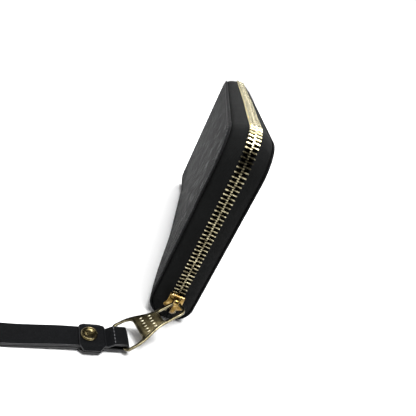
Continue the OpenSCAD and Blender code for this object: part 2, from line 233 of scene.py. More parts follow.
def ring_faces(levels, count):
    """Faces between closed rings of count points, one ring after another."""
    faces = []
    for r in range(levels - 1):
        for i in range(count):
            j = (i + 1) % count
            faces.append([r * count + i, r * count + j, (r + 1) * count + j, (r + 1) * count + i])
    return faces


class Build:
    """Collects vertices and faces of several closed shapes for one object."""

    def __init__(self):
        self.verts = []
        self.faces = []

    def add(self, verts, faces):
        base = len(self.verts)
        self.verts += [tuple(v) for v in verts]
        self.faces += [[base + i for i in face] for face in faces]

    def rings(self, rings):
        """Skins closed rings of equal length one after another, with a cap on each end."""
        count = len(rings[0])
        faces = ring_faces(len(rings), count)
        faces.append(list(range(count))[::-1])
        faces.append([(len(rings) - 1) * count + i for i in range(count)])
        self.add([v for ring in rings for v in ring], faces)

    def prism(self, outline, levels, place):
        """An outline drawn in two axes, as a stack of (height, inset) levels that round its edges."""
        centre = Vector((sum(p[0] for p in outline), sum(p[1] for p in outline))) / len(outline)
        stack = []
        for height, inset in levels:
            ring = []
            for p in outline:
                out = Vector(p) - centre
                q = centre + out * max(0.0, 1 - inset / max(out.length, 1e-6))
                ring.append(place(q[0], q[1], height))
            stack.append(ring)
        self.rings(stack)

    def object(self, name, materials, sharp=SHARP_ANGLE):
        return finished(raw_mesh(name, self.verts, self.faces), sharp, materials)

    def piece(self, name, material, body, slot, nodes=(), sharp=SHARP_ANGLE):
        """The collected shapes as one finished piece of one material."""
        return finish_piece(self.object(name, [material], sharp), body, slot, nodes)


def soft_levels(low, high, edge):
    """Levels that round both edges of a flat piece from low to high."""
    return [(low, edge * 1.0), (low + edge * 0.3, edge * 0.3), (low + edge, 0), (high - edge, 0),
            (high - edge * 0.3, edge * 0.3), (high, edge)]


def sweep_rings(path, section, side):
    """Rings of a section (across, up) carried along a path of points, with across kept along side."""
    rings = []
    for i, point in enumerate(path):
        here = Vector(point)
        before = Vector(path[max(0, i - 1)])
        after = Vector(path[min(len(path) - 1, i + 1)])
        along = (after - before).normalized()
        across = Vector(side).normalized()
        up = across.cross(along).normalized()
        across = along.cross(up).normalized()
        shape = section(i / (len(path) - 1))
        rings.append([here + across * a + up * u for a, u in shape])
    return rings


def oval(half_a, half_u, power=2.6, count=16):
    """A rounded bar's section."""
    made = []
    for i in range(count):
        t = 2 * math.pi * i / count
        c, s = math.cos(t), math.sin(t)
        made.append((half_a * math.copysign(abs(c) ** (2 / power), c),
                     half_u * math.copysign(abs(s) ** (2 / power), s)))
    return made


def strip(name, rings, uv_name, across, along, material):
    """A closed strip of cloth or leather: rings along its length, with a UV map in millimetres."""
    count = len(rings[0])
    faces = ring_faces(len(rings), count)
    coordinates = []
    for r in range(len(rings) - 1):
        for i in range(count):
            end = across[i + 1]
            coordinates.append([(along[r], across[i]), (along[r], end), (along[r + 1], end),
                                (along[r + 1], across[i])])
    for r in (0, len(rings) - 1):
        faces.append([r * count + i for i in range(count)])
        coordinates.append([(along[r], across[i]) for i in range(count)])
    mesh = raw_mesh(name, [v for ring in rings for v in ring], faces)
    layer = mesh.uv_layers.new(name=uv_name)
    for polygon, corners in zip(mesh.polygons, coordinates):
        for loop, uv in zip(polygon.loop_indices, corners):
            layer.data[loop].uv = uv
    return finished(mesh, SOFT_ANGLE, [material])


def settled_copy(node, name, material, bevel):
    """A new piece with a CAD node's outline, tapered with the wallet, its edges softened."""
    mesh = bpy.data.meshes.new(name)
    work = bmesh.new()
    work.from_mesh(frame["nodes"][node].data)
    bmesh.ops.remove_doubles(work, verts=work.verts, dist=0.00001)
    bmesh.ops.dissolve_limit(work, angle_limit=math.radians(1), verts=work.verts, edges=work.edges)
    bmesh.ops.recalc_face_normals(work, faces=work.faces)
    edges = [e for e in work.edges if len(e.link_faces) == 2 and e.calc_face_angle() > math.radians(30)]
    bmesh.ops.bevel(work, geom=edges, offset=bevel * MM, segments=2, profile=0.5, affect="EDGES",
                    clamp_overlap=True)
    cuts = [((x, 0, 0), (1, 0, 0)) for x in steps(-84, 84, 16)]
    cuts += [((0, 0, z), (0, 0, 1)) for z in steps(13, 63, 6)]
    for point, normal in cuts:
        everything = list(work.verts) + list(work.edges) + list(work.faces)
        bmesh.ops.bisect_plane(work, geom=everything, plane_co=Vector(point) * MM, plane_no=normal,
                               dist=CUT_REACH)
    for v in work.verts:
        v.co = Vector(settle(*(c / MM for c in v.co))) * MM
    work.to_mesh(mesh)
    work.free()
    obj = shaded(mesh, SHARP_ANGLE, [material])
    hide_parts(node)
    return obj


def finish_piece(obj, body, slot=None, nodes=()):
    """Rides a piece on its body and hides the CAD nodes it stands for; slot is not used."""
    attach(obj, body)
    if nodes:
        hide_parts(*nodes)
    return obj


# ---- materials ----

def new_material(name):
    material = bpy.data.materials.new(name)
    material.use_nodes = True
    return material, material.node_tree, material.node_tree.nodes["Principled BSDF"]


def add(tree, kind, inputs=None, **settings):
    """A shader node with its settings, and inputs that are sockets or plain values."""
    made = tree.nodes.new("ShaderNode" + kind)
    for key, value in settings.items():
        setattr(made, key, value)
    for key, value in (inputs or {}).items():
        if isinstance(value, bpy.types.NodeSocket):
            tree.links.new(value, made.inputs[key])
        else:
            made.inputs[key].default_value = value
    return made


def maths(tree, operation, a, b=0.5, clamp=False):
    return add(tree, "Math", {0: a, 1: b}, operation=operation, use_clamp=clamp).outputs[0]


def weighted(tree, *parts):
    """The sum of (value, weight) parts."""
    total = maths(tree, "MULTIPLY", *parts[0])
    for part in parts[1:]:
        total = maths(tree, "ADD", total, maths(tree, "MULTIPLY", *part))
    return total


def surface(tree, shader, colour, rough, height, strength, depth, under=None):
    """Gives a shader its colour, its roughness and a relief of a depth in metres."""
    inputs = {"Strength": strength, "Distance": depth, "Height": height}
    if under:
        inputs["Normal"] = under
    tree.links.new(colour, shader.inputs["Base Color"])
    tree.links.new(rough, shader.inputs["Roughness"])
    tree.links.new(add(tree, "Bump", inputs).outputs["Normal"], shader.inputs["Normal"])


def ramp(tree, value, stops):
    """A colour ramp with (place, colour) stops."""
    made = add(tree, "ValToRGB", {"Fac": value})
    elements = made.color_ramp.elements
    while len(elements) < len(stops):
        elements.new(0.5)
    for element, (place, colour) in zip(elements, stops):
        element.position = place
        element.color = (*colour, 1)
    return made.outputs["Color"]


def scaled(tree, value, low, high):
    """Value from 0 to 1, mapped to low to high."""
    return add(tree, "MapRange", {"Value": value, "To Min": low, "To Max": high}).outputs["Result"]


def own_place(tree, stretch=(1, 1, 1)):
    """A point's place on its piece, in metres."""
    place = add(tree, "TexCoord").outputs["Object"]
    return add(tree, "Mapping", {"Vector": place, "Scale": stretch}).outputs["Vector"]


def noise(tree, place, scale, detail=3, roughness=0.55):
    return add(tree, "TexNoise", {"Vector": place, "Scale": scale, "Detail": detail,
                                  "Roughness": roughness}).outputs["Fac"]


def warped(tree, place, scale, amount):
    """The place, pushed about by a noise so that cells aren't regular."""
    push = add(tree, "TexNoise", {"Vector": place, "Scale": scale, "Detail": 2}).outputs["Color"]
    centred = add(tree, "VectorMath", {0: push, 1: (0.5, 0.5, 0.5)}, operation="SUBTRACT").outputs[0]
    small = add(tree, "VectorMath", {0: centred, "Scale": amount}, operation="SCALE").outputs[0]
    return add(tree, "VectorMath", {0: place, 1: small}, operation="ADD").outputs[0]


def pebbles(tree, place, size_mm):
    """Leather pebbles: 1 on their tops, 0 in the creases between them."""
    cells = add(tree, "TexVoronoi", {"Vector": place, "Scale": 1 / (size_mm * MM), "Randomness": 0.9},
                feature="DISTANCE_TO_EDGE").outputs["Distance"]
    return add(tree, "MapRange", {"Value": cells, "From Max": 0.32},
               interpolation_type="SMOOTHERSTEP").outputs["Result"]


def leather(name, dark, light, pebble_mm, relief_mm, rough, specular, crease_mm=0.05, streaks=0.2):
    """Dyed leather: pebbled grain with finer pores, soft creases and paler worn edges."""
    material, tree, shader = new_material(name)
    place = own_place(tree)
    uneven = warped(tree, place, 260, 0.0016)
    creases = noise(tree, warped(tree, own_place(tree, (1, 1, 0.55)), 90, 0.004), 280, 3, 0.6)
    coarse = pebbles(tree, uneven, pebble_mm)
    fine = pebbles(tree, warped(tree, place, 700, 0.0006), pebble_mm * 0.34)
    wrinkles = noise(tree, place, 90, 4)
    grain = weighted(tree, (coarse, 0.62), (fine, 0.22))
    height = maths(tree, "ADD", grain, maths(tree, "MULTIPLY", wrinkles, 0.9))
    edges = add(tree, "NewGeometry").outputs["Pointiness"]
    wear = add(tree, "MapRange", {"Value": edges, "From Min": 0.52, "From Max": 0.62,
                                  "To Max": 0.25}).outputs["Result"]
    patches = noise(tree, place, 34, 3)
    tone = maths(tree, "ADD", weighted(tree, (grain, 0.6), (patches, 0.4)), wear, clamp=True)
    gloss = maths(tree, "SUBTRACT", 1.0, maths(tree, "MULTIPLY", grain, 0.5))
    gloss = maths(tree, "ADD", gloss, maths(tree, "MULTIPLY", patches, 0.25))
    rub_and_glint = add(tree, "MapRange", {"Value": creases, "From Min": 0.36, "From Max": 0.64, "To Min": -streaks,
                                 "To Max": streaks}).outputs["Result"]
    gloss = maths(tree, "ADD", gloss, rub_and_glint)
    folds = add(tree, "Bump", {"Strength": 1.0, "Distance": crease_mm * MM, "Height": creases})
    surface(tree, shader, ramp(tree, tone, [(0.12, dark), (0.85, light)]),
            scaled(tree, gloss, rough - 0.16, rough + 0.12), height, 0.85, relief_mm * MM,
            folds.outputs["Normal"])
    shader.inputs["Specular IOR Level"].default_value = specular
    return material


def woven(name, dark, light, thread_mm, uv_name=None, sheen=0.08):
    """Twill tape or cloth: diagonal ribs of threads that pass over and under each other."""
    material, tree, shader = new_material(name)
    if uv_name:
        source = add(tree, "UVMap", uv_map=uv_name).outputs["UV"]
        step = 1 / thread_mm
    else:
        source = add(tree, "TexCoord").outputs["Object"]
        step = 1 / (thread_mm * MM)
    place = add(tree, "Mapping", {"Vector": source, "Scale": (step, step, step)}).outputs["Vector"]
    parts = add(tree, "SeparateXYZ", {0: place})
    along = parts.outputs[0]
    across = parts.outputs[1] if uv_name else parts.outputs[2]
    ribs = maths(tree, "ADD", along, across)
    ribs = maths(tree, "SINE", maths(tree, "MULTIPLY", ribs, math.pi))
    threads = maths(tree, "SINE", maths(tree, "MULTIPLY", across, 2 * math.pi * 1.4))
    fuzz = noise(tree, own_place(tree), 5200, 2)
    height = weighted(tree, (ribs, 0.35), (threads, 0.2), (fuzz, 0.35))
    tone = weighted(tree, (height, 0.5), (noise(tree, own_place(tree), 55, 3), 0.7))
    surface(tree, shader, ramp(tree, tone, [(0.1, dark), (0.9, light)]), scaled(tree, fuzz, 0.72, 0.95),
            height, 0.8, thread_mm * 0.35 * MM)
    shader.inputs["Specular IOR Level"].default_value = 0.1
    shader.inputs["Sheen Weight"].default_value = sheen
    shader.inputs["Sheen Roughness"].default_value = 0.4
    return material


def metal(name, tarnish, plain, rubbed_and_glint, rough, painted_top_highlight_from=None):
    """Plated metal: tarnish in patches, fine scratches, and brighter edges, part rubbed plating, part painted
    highlight.

    Above the height given last, in metres, the colour is painted brighter: a painted highlight for light
    falling on the top."""
    material, tree, shader = new_material(name)
    place = own_place(tree)
    patches = noise(tree, place, 420, 4)
    edges = add(tree, "NewGeometry").outputs["Pointiness"]
    # Brighter convex edges: partly rubbed plating, partly a painted highlight on raised edges.
    rub_and_glint = add(tree, "MapRange", {"Value": edges, "From Min": 0.53, "From Max": 0.64}).outputs["Result"]
    tone = maths(tree, "ADD", maths(tree, "MULTIPLY", patches, 0.85), maths(tree, "MULTIPLY", rub_and_glint, 0.3), True)
    # Painted highlight: above the given height the colour is pushed towards the bright colour, for light
    # falling on the top.
    if painted_top_highlight_from:
        height = add(tree, "SeparateXYZ", {0: place}).outputs[2]
        painted_top_highlight = add(tree, "MapRange", {"Value": height, "From Min": painted_top_highlight_from, "From Max": painted_top_highlight_from + 0.003,
                                      "To Max": 0.5}).outputs["Result"]
        tone = maths(tree, "ADD", tone, painted_top_highlight, clamp=True)
    scratches = noise(tree, place, 6000, 2)
    wear = weighted(tree, (scratches, 0.5), (noise(tree, place, 900, 3), 0.5))
    surface(tree, shader, ramp(tree, tone, [(0.18, tarnish), (0.45, plain), (0.85, rubbed_and_glint)]),
            scaled(tree, wear, rough * 0.55, rough * 1.5), scratches, 0.35, 0.000008)
    shader.inputs["Metallic"].default_value = 1
    return material


def thread(name, dark, light):
    """Waxed thread, its twist seen as fine slanting ridges."""
    material, tree, shader = new_material(name)
    place = own_place(tree)
    twist = add(tree, "TexWave", {"Vector": place, "Scale": 700, "Distortion": 1.5},
                bands_direction="DIAGONAL").outputs["Fac"]
    fuzz = noise(tree, place, 4000, 2)
    tone = maths(tree, "MULTIPLY", twist, fuzz)
    surface(tree, shader, ramp(tree, tone, [(0, dark), (0.7, light)]), scaled(tree, fuzz, 0.45, 0.8),
            twist, 0.7, 0.00005)
    return material


def paint(name, dark, light, rough):
    """Edge paint or moulded finish: smooth, with brush waves and small specks."""
    material, tree, shader = new_material(name)
    place = own_place(tree)
    waves = noise(tree, place, 700, 3)
    specks = noise(tree, place, 3500, 2)
    surface(tree, shader, ramp(tree, waves, [(0.3, dark), (0.75, light)]),
            scaled(tree, specks, rough * 0.7, rough * 1.3), waves, 0.5, 0.00006)
    shader.inputs["Specular IOR Level"].default_value = 0.4
    return material


def floor_material():
    """Pale studio floor, with the faintest mottling."""
    material, tree, shader = new_material("pale_floor")
    cloud = noise(tree, own_place(tree), 3, 2)
    tree.links.new(ramp(tree, cloud, [(0.2, (0.86, 0.86, 0.86)), (0.8, (0.9, 0.9, 0.9))]),
                   shader.inputs["Base Color"])
    tree.links.new(scaled(tree, cloud, 0.75, 0.9), shader.inputs["Roughness"])
    shader.inputs["Specular IOR Level"].default_value = 0.1
    return material


WEAVE = "Weave"
COVER = leather("cover_leather", (0.002, 0.002, 0.0022), (0.009, 0.0095, 0.0105), 1.15, 0.24, 0.66,
                0.1, 1.0, 0.7)
STRAP = leather("strap_leather", (0.0006, 0.0007, 0.0009), (0.003, 0.0035, 0.0045), 0.75, 0.12, 0.55, 0.07)
CARD = leather("card_leather", (0.004, 0.004, 0.0045), (0.016, 0.016, 0.018), 0.6, 0.07, 0.5, 0.2)
LINING = leather("lining_leather", (0.006, 0.0055, 0.0055), (0.026, 0.024, 0.023), 0.5, 0.05, 0.58, 0.2)
TAPE = woven("zip_tape_twill", (0.0008, 0.0009, 0.0009), (0.0065, 0.007, 0.007), 0.42, WEAVE, 0.0)
CLOTH = woven("gusset_twill", (0.004, 0.004, 0.0045), (0.016, 0.016, 0.018), 0.3, WEAVE)
# BRASS's last number is the height in metres above which its teeth carry a painted highlight.
# Each metal's last colour is for its brighter edges: partly rubbed plating, partly a painted highlight.
BRASS = metal("antique_brass", (0.02, 0.017, 0.009), (0.085, 0.073, 0.044), (0.85, 0.77, 0.5), 0.26, 0.102)
GOLD = metal("warm_gold", (0.06, 0.034, 0.008), (0.2, 0.125, 0.034), (0.95, 0.72, 0.34), 0.17)
PALE_GOLD = metal("pale_gold", (0.045, 0.039, 0.02), (0.14, 0.122, 0.073), (0.7, 0.63, 0.43), 0.15)
CREAM = metal("cream_gold", (0.14, 0.125, 0.08), (0.42, 0.385, 0.27), (0.8, 0.75, 0.56), 0.34)
RIVET = metal("aged_gold", (0.025, 0.019, 0.007), (0.085, 0.068, 0.03), (0.7, 0.59, 0.33), 0.22)
BRONZE = metal("olive_bronze", (0.02, 0.016, 0.008), (0.055, 0.046, 0.024), (0.16, 0.135, 0.07), 0.3)
THREAD = thread("black_thread", (0.006, 0.006, 0.007), (0.045, 0.045, 0.05))
GREY_THREAD = thread("grey_thread", (0.03, 0.03, 0.034), (0.2, 0.2, 0.215))
EDGE = paint("edge_paint", (0.003, 0.003, 0.0035), (0.011, 0.011, 0.013), 0.42)
BOARD = paint("grey_board", (0.16, 0.14, 0.11), (0.3, 0.27, 0.22), 0.8)


# ---- the covers' outline ----

def walk(a, up, turn, across):
    """Which leg of up, round, across, round and down a distance falls in, and how far into it."""
    for leg, length in enumerate((up, turn, across, turn)):
        if a < length:
            return leg, a
        a -= length
    return 4, a



def spine_curve(s):
    """The leather's outer face, s from the spine's centre line: (y outwards, z, and the normal)."""
    if s < SPINE_FLAT:
        return s, 0.0, 0.0, -1.0
    if s < SPINE_FLAT + SPINE_ARC:
        a = (s - SPINE_FLAT) / SPINE_R
        return SPINE_FLAT + SPINE_R * math.sin(a), SPINE_R - SPINE_R * math.cos(a), math.sin(a), -math.cos(a)
    return HALF_T, SPINE_R + s - SPINE_FLAT - SPINE_ARC, 1.0, 0.0


def crown(x, s):
    """How much the padded cover swells at a place, with faint waves from handling."""
    sides = smooth((HALF_L - abs(x) - 3) / 22)
    top = smooth((SHEET_TOP - s - 3) / 22)
    low = smooth((s - SPINE_FLAT - SPINE_ARC - 2) / 20)
    waves = 0.14 * math.sin(x / 13 + 0.8) * math.sin(s / 11) + 0.1 * math.sin(x / 7.3 - s / 19)
    return (BULGE + waves) * sides * top * low


def outline_ring(inset, rows, columns, turns=12):
    """The cover's outline in (x, s), taken in by inset, from the spine up one end, over and down."""
    x = HALF_L - inset
    centre = SHEET_TOP - CORNER_R
    radius = CORNER_R - inset
    ring = [(-x, s) for s in rows]
    ring += arc_points(-CORNER_X, centre, radius, 180, 90, turns)[1:-1]
    ring += [(c, SHEET_TOP - inset) for c in columns]
    ring += arc_points(CORNER_X, centre, radius, 90, 0, turns)[1:-1]
    ring += [(x, s) for s in reversed(rows)]
    return ring


def cover_shell(name, side, profile, depth, material):
    """A closed shell with the cover's outline that rolls under to the spine's centre line.

    The profile holds (inset, share of thickness) pairs, from the outer face over the edge to the inner."""
    low_rows = steps(0, SPINE_FLAT + SPINE_ARC, 14)
    rows = low_rows + steps(SPINE_FLAT + SPINE_ARC, SHEET_TOP - CORNER_R, 22)[1:]
    columns = steps(-CORNER_X, CORNER_X, 44)
    turns = 12

    def place(x, s, share, swell):
        y, z, ny, nz = spine_curve(s)
        sink = depth * (1 - share) - (crown(x, s) if swell else 0)
        return settle(x, side * (y - ny * sink), z - nz * sink)

    verts = []
    faces = []
    rings = []
    for inset, share in profile:
        outer = inset > 2.4 and share > 0.5
        start = len(verts)
        verts += [place(x, s, share, outer) for x, s in outline_ring(inset, rows, columns, turns)]
        rings.append(list(range(start, len(verts))))

    def grid(share, swell):
        start = len(verts)
        for s in rows:
            for x in columns:
                verts.append(place(x, s, share, swell))
        wide = len(columns)
        for j in range(len(rows) - 1):
            for i in range(wide - 1):
                a = start + j * wide + i
                faces.append([a, a + 1, a + wide + 1, a + wide])
        tall = len(rows)
        edge = [start + j * wide for j in range(tall)] + [start + (tall - 1) * wide] * (turns - 1)
        edge += [start + (tall - 1) * wide + i for i in range(wide)] + [start + tall * wide - 1] * (turns - 1)
        return edge + [start + j * wide + wide - 1 for j in range(tall - 1, -1, -1)]

    rings = [grid(1, True)] + rings + [grid(0, False)]
    for a, b in zip(rings, rings[1:]):
        for i in range(len(a) - 1):
            face = [a[i], a[i + 1], b[i + 1], b[i]]
            face = [v for n, v in enumerate(face) if v not in face[:n]]
            if len(face) > 2:
                faces.append(face)
    faces.append([ring[0] for ring in rings])
    faces.append([ring[-1] for ring in rings])
    first = rings[0][0]
    last = rings[-1][0]
    for i in range(len(columns) - 1):
        faces.append([first + i, first + i + 1, last + i + 1, last + i])
    return finished(raw_mesh(name, verts, faces), SOFT_ANGLE, [material])


SKIN_PROFILE = [(12, 1), (7, 1), (4.2, 1), (3, 1), (2.5, 0.97), (STITCH_INSET, 0.86), (1.7, 0.97), (1.2, 1),
                (0.8, 0.985), (0.42, 0.92), (0.14, 0.76), (0, 0.5), (0, 0.3), (0.16, 0.1), (0.4, 0.02),
                (0.8, 0), (3, 0), (8, 0)]


def covers():
    """The outer leather: one skin each for the front and the back, hinged by its own bend at the spine."""
    for side, word in SIDES:
        skin = cover_shell(f"{word}_leather_skin", side, SKIN_PROFILE, LEATHER_T, COVER)
        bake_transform(skin, "spine", f"{word}_cover", start=(0, side * HALF_T * MM, HINGE_LOW * MM),
                 end=(0, side * HALF_T * MM, HINGE_HIGH * MM))
        nodes = [f"{word}_panel"] + (["spine_leather"] if word == "front" else [])
        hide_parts(*nodes)


# ---- stitching ----

def add_stitch(build, start, end, normal, radius):
    """One thread stitch that rises out of its hole, lies flat and dips again."""
    normal = Vector(normal).normalized()
    start, end = Vector(start), Vector(end)
    side = (end - start).cross(normal).normalized()
    rings = []
    for t, lift, size in ((0, -1.2, 0.5), (0.08, 0.2, 0.85), (0.3, 0.62, 1), (0.5, 0.7, 1), (0.7, 0.62, 1),
                          (0.92, 0.2, 0.85), (1, -1.2, 0.5)):
        middle = start.lerp(end, t) + normal * lift * radius
        ring = []
        for k in range(8):
            a = 2 * math.pi * k / 8
            ring.append(middle + (side * math.cos(a) + normal * math.sin(a)) * radius * size)
        rings.append(ring)
    build.rings(rings)


def stitched_line(build, place, start, end, pitch, radius, slant=0.0):
    """Stitches along a line. place(distance, aside) gives a point on the surface and its normal."""
    count = max(1, round((end - start) / pitch))
    step = (end - start) / count
    for i in range(count):
        a, normal = place(start + (i + 0.14) * step, -slant)
        b, _ = place(start + (i + 0.86) * step, slant)
        add_stitch(build, a, b, normal, radius)


def edge_place(side, inset, share):
    """Places for stitches along a cover's outline: from the hinge up the near end, over and down."""
    low = SHEET_TOP - PANEL_TOP + HINGE_HIGH
    up = SHEET_TOP - CORNER_R - low
    radius = CORNER_R - inset
    turn = radius * math.pi / 2
    across = 2 * CORNER_X

    def place(a, aside):
        inner = inset + aside
        r = CORNER_R - inner
        centre = SHEET_TOP - CORNER_R
        leg, part = walk(a, up, turn, across)
        if leg == 0:
            x, s = HALF_L - inner, low + part
        elif leg == 2:
            x, s = CORNER_X - part, SHEET_TOP - inner
        elif leg == 4:
            x, s = -(HALF_L - inner), centre - part
        else:
            angle = part / radius + (0 if leg == 1 else math.pi / 2)
            x, s = (2 - leg) * CORNER_X + r * math.cos(angle), centre + r * math.sin(angle)
        y, z, ny, nz = spine_curve(s)
        sink = LEATHER_T * (1 - share)
        return settle(x, side * (y - ny * sink), z - nz * sink), (0, side, 0)

    return place, 2 * up + 2 * turn + across


def cover_stitching():
    """Black thread round each cover that holds leather, tape and lining together."""
    for side, word in SIDES:
        build = Build()
        place, total = edge_place(side, STITCH_INSET, 0.9)
        stitched_line(build, place, 0, total, 3.3, 0.24, 0.12)
        build.piece(f"{word}_edge_stitching", THREAD, f"{word}_cover", "grained_leather")


# ---- main zip ----

def outline_frame(a, z0, beyond):
    """The outline's point (x, z) and outward direction, a distance a along a line that runs beyond it."""
    up = CORNER_Z - z0
    turn = (CORNER_R + beyond) * math.pi / 2
    leg, part = walk(a, up, turn, 2 * CORNER_X)
    if leg == 0:
        return HALF_L, z0 + part, 1.0, 0.0
    if leg == 2:
        return CORNER_X - part, PANEL_TOP, 0.0, 1.0
    if leg == 4:
        return -HALF_L, CORNER_Z - part, -1.0, 0.0
    t = part / (CORNER_R + beyond) + (0 if leg == 1 else math.pi / 2)
    c, d = math.cos(t), math.sin(t)
    return (2 - leg) * CORNER_X + CORNER_R * c, CORNER_Z + CORNER_R * d, c, d


def chain_length(z0, beyond):
    return 2 * (CORNER_Z - z0) + (CORNER_R + beyond) * math.pi + 2 * CORNER_X


def inner_half(z):
    """Half the space between the leathers at a height, which narrows in the rolled spine."""
    if z >= SPINE_R:
        return LEATHER_IN
    rise = max(0.0, (SPINE_R - LEATHER_T) ** 2 - (SPINE_R - z) ** 2)
    return SPINE_FLAT + math.sqrt(rise)


TAPE_LINE = [(-5, 10.5), (-1.3, 10.45), (-0.35, 10.1), (0.35, 9.4), (0.95, 8.4), (1.4, 7.45), (1.8, 6.4),
             (2.15, 5.3), (2.42, 4.3), (2.58, 3.6), (2.66, 3.1), (2.68, 2.7)]


def cloth_section(line, half_at, tip=()):
    """Closed section round a bent line of cloth with a bead's tip, and the distance round it."""
    outer = []
    inner = []
    last = len(line) - 1
    for i, here in enumerate(line):
        along = line[min(last, i + 1)] - line[max(0, i - 1)]
        normal = Vector((-along[1], along[0]))
        normal = normal.normalized() if normal.length > 1e-6 else Vector((0, 1))
        outer.append(here + normal * half_at(i))
        inner.append(here - normal * half_at(i))
    ring = outer + list(tip) + inner[::-1]
    around = [0.0]
    for i in range(len(ring)):
        around.append(around[-1] + (ring[(i + 1) % len(ring)] - ring[i]).length)
    return ring, around


def tape_section():
    """The tape's section, (outward, from the centre plane), thickest at the bead that carries the teeth."""
    line = [Vector(p) for p in TAPE_LINE]
    return cloth_section(line, lambda i: 0.28 + 0.24 * smooth((i - len(line) + 3.4) / 2),
                         [line[-1] - Vector((0, 0.45))])


def zip_tapes():
    """Two woven tapes that bow out from under the leather to the chain and close both short ends."""
    ring, around = tape_section()
    z0 = LEATHER_T + 0.7
    total = chain_length(z0, CHAIN_O)
    for side, word in SIDES:
        stations = [0.7 * i for i in range(20)] + steps(14, total - 14, 230)
        stations += [total - 0.7 * i for i in range(19, -1, -1)]
        rings = []
        for a in stations:
            x, z, nx, nz = outline_frame(a, z0, CHAIN_O)
            narrow = inner_half(z) / LEATHER_IN
            meet = 1 - smooth((z - 8.5) / 5)
            ripple = 0.06 * math.sin(a * 1.1) + 0.05 * math.sin(a * 0.43 + side)
            loop = []
            for o, w in ring:
                free = smooth((o + 0.6) / 2) * smooth((w - 3.4) / 2)
                w = mix(w, (w - 2.3) * LEATHER_IN / (LEATHER_IN - 2.3), meet) * narrow
                o = o - 0.9 * meet * smooth((o + 0.6) / 2) + ripple * free
                loop.append(wander(x + nx * o, side * max(w, 0.02), z + nz * o))
            rings.append(loop)
        tape = strip(f"{word}_zip_tape_cloth", rings, WEAVE, around, stations, TAPE)
        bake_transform(tape, "spine", f"{word}_cover", start=(0, side * 10.8 * MM, 7 * MM),
                 end=(0, side * 13.5 * MM, 9.4 * MM))
        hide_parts(f"{word}_zip_tape")
        if word == "front":
            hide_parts("spine_end_near", "spine_end_far")


TOOTH = [(3.3, -0.24), (3.15, -0.38), (1.5, -0.41), (0.9, -0.36), (0.5, -0.36), (0.15, -0.5), (-0.3, -0.48),
         (-0.55, -0.25), (-0.55, 0.25), (-0.3, 0.48), (0.15, 0.5), (0.5, 0.36), (0.9, 0.36), (1.5, 0.41),
         (3.15, 0.38), (3.3, 0.24)]
TOOTH_LEVELS = [(-1.2, 0.2), (-0.95, 0), (0.72, 0), (1.02, 0.07), (1.2, 0.26)]
TOOTH_PITCH = 2.26


def zip_chain():
    """Two rows of stamped teeth: legs clamped on the tape's bead and heads that interlock."""
    total = chain_length(TEETH_Z0 + 0.6, CHAIN_O) - 6
    for side, word in SIDES:
        build = Build()
        shift = 0 if side < 0 else TOOTH_PITCH / 2
        for n in range(int((total - shift) / TOOTH_PITCH)):
            x, z, nx, nz = outline_frame(shift + n * TOOTH_PITCH, TEETH_Z0 + 0.6, CHAIN_O)

            def place(w, along, out, x=x, z=z, nx=nx, nz=nz):
                o = CHAIN_O + out
                return wander(x + nx * o - nz * along, side * w, z + nz * o + nx * along)

            build.prism(TOOTH, TOOTH_LEVELS, place)
        build.piece(f"{word}_zip_chain", BRASS, f"{word}_cover", "zip_brass", [f"{word}_zip_teeth"],
                    TOOTH_ANGLE)


def zip_stops():
    """Crimped stops: one on each tape below the slider and one across the chain's far end."""
    for side, word in SIDES:
        low, high = span(f"{word}_zip_stop")
        near, far = (high[1], low[1]) if side < 0 else (low[1], high[1])
        build = Build()
        outline = rectangle(near, low[2], far, high[2], 0.5)
        build.prism(outline, soft_levels(low[0], high[0], 0.25), lambda u, v, h: (h, u, v))
        body = body_of(frame["nodes"][f"{word}_zip_stop"])[0]
        build.piece(f"{word}_crimped_stop", BRASS, body, "zip_brass", [f"{word}_zip_stop"])
    low, high = span("zip_end_stop")
    build = Build()
    wide = high[1] - 0.3
    outline = rectangle(-wide, low[2], wide, high[2], 0.9)
    build.prism(outline, soft_levels(-high[0], -low[0], 0.35), lambda u, v, h: wander(-h, u, v))
    build.piece("far_end_stop", BRASS, "spine", "zip_brass", ["zip_end_stop"])


# ---- slider ----

def slider():
    """Cast slider: two flared plates with turned-in lips, the post between them and a rounded rear bar."""
    z0, top = SLIDER_LOW[2], SLIDER_HIGH[2]
    face, back = SLIDER_HIGH[0], SLIDER_LOW[0]
    lip = 4.0
    wing = SLIDER_HIGH[1]
    mid = mix(z0, top, 0.42)
    half = [(2.2, z0), (wing, z0 + 1.3), (wing, z0 + 2.4), (lip + 0.1, mid), (lip - 0.05, top - 0.9),
            (lip - 1.0, top)]
    outline = rounded(half + [(-y, z) for y, z in reversed(half)], 0.9, 5)
    build = Build()
    plate = [(0, 0.25), (0.12, 0.06), (0.3, 0), (0.72, 0), (0.95, 0.1), (1.12, 0.35), (1.26, 1.0),
             (1.34, 2.0)]
    build.prism(outline, plate, lambda y, z, h: (face - 1 + h, y, z))
    build.prism(outline, [(0, 0.35), (0.15, 0.08), (0.4, 0), (0.85, 0), (1, 0.2)],
                lambda y, z, h: (back + h, y, z))
    for side in (-1, 1):
        bar = rounded([(3.4, mid - 0.6), (lip + 0.05, mid - 0.6), (lip - 0.05, top - 0.4),
                       (3.4, top - 0.4)], 0.2)
        for low, high in ((face - 2, face - 0.7), (back + 0.7, back + 1.6)):
            build.prism(bar, soft_levels(low, high, 0.15), lambda y, z, h, side=side: (h, side * y, z))
    post = rounded([(-0.48, z0 + 0.6), (0.48, z0 + 0.6), (0.3, z0 + 4), (-0.3, z0 + 4)], 0.2)
    build.prism(post, [(0, 0), (face - back - 1.4, 0)], lambda y, z, h: (back + 0.8 + h, y, z))
    rear = sweep_rings([(face + 0.1, y, top - 0.75) for y in steps(-3.3, 3.3, 10)],
                       lambda t: oval(0.62 * math.sin(math.pi * mix(0.12, 0.88, t)) ** 0.35, 0.72), (1, 0, 0))
    build.rings(rear)
    build.piece("slider_casting", GOLD, "zip_slider", "slider_gold", ["slider_body"])


